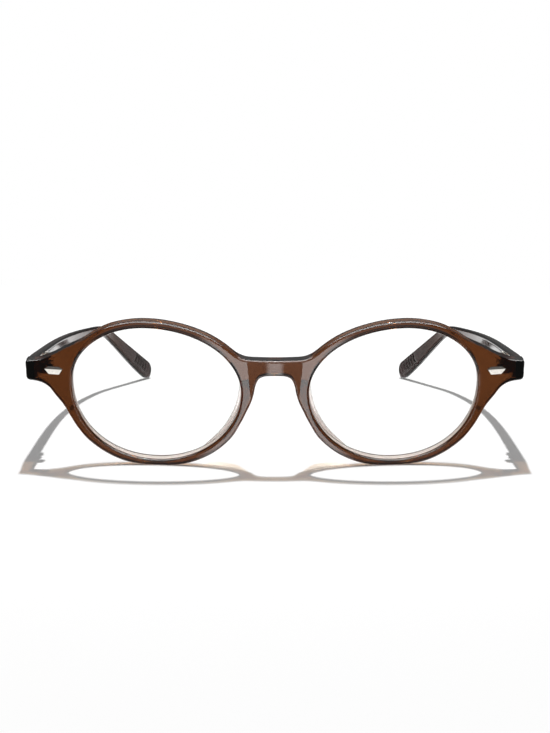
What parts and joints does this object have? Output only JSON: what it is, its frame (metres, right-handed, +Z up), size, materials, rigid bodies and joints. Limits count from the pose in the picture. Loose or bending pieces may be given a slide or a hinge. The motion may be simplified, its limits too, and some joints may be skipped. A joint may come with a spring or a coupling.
{
  "type": "reading glasses",
  "caption": "Reading glasses with round lenses, an arched bridge, nose pads and folding temples on barrel hinges.",
  "frame": {"origin": "under the middle of the glasses' length and width, on the surface that the rims and the temple tips stand on", "axes": "+Z up, -Y the way the wearer looks, +X the wearer's left"},
  "size_m": [0.1382, 0.1326, 0.0419],
  "materials": {
    "front_plastic": "polished, translucent brown",
    "temple_plastic": "polished, translucent grey brown",
    "lens": "clear, polished",
    "pad_plastic": "clear, slightly milky",
    "hinge_steel": "satin",
    "polished_metal": "polished"
  },
  "bodies": {
    "front_frame": {"front": "front_plastic", "left_lens": "lens", "right_lens": "lens", "left_nose_pad": "pad_plastic", "right_nose_pad": "pad_plastic", "left_plaque": "polished_metal", "right_plaque": "polished_metal", "left_front_leaf": "hinge_steel", "right_front_leaf": "hinge_steel", "left_hinge_screw": "polished_metal", "right_hinge_screw": "polished_metal"},
    "left_arm": {"left_temple": "temple_plastic", "left_temple_leaf": "hinge_steel", "left_temple_front_rivet": "polished_metal", "left_temple_rear_rivet": "polished_metal"},
    "right_arm": {"right_temple": "temple_plastic", "right_temple_leaf": "hinge_steel", "right_temple_front_rivet": "polished_metal", "right_temple_rear_rivet": "polished_metal"}
  },
  "joints": [
    {"name": "left_temple_fold", "type": "hinge", "parent": "front_frame", "child": "left_arm", "pos_m": [0.06475, -0.04555, 0.02635], "axis": [0, 0.0768, 0.997], "range_deg": [0, 82]},
    {"name": "right_temple_fold", "type": "hinge", "parent": "front_frame", "child": "right_arm", "pos_m": [-0.06475, -0.04555, 0.02635], "axis": [0, -0.0768, -0.997], "range_deg": [0, 76]}
  ]
}
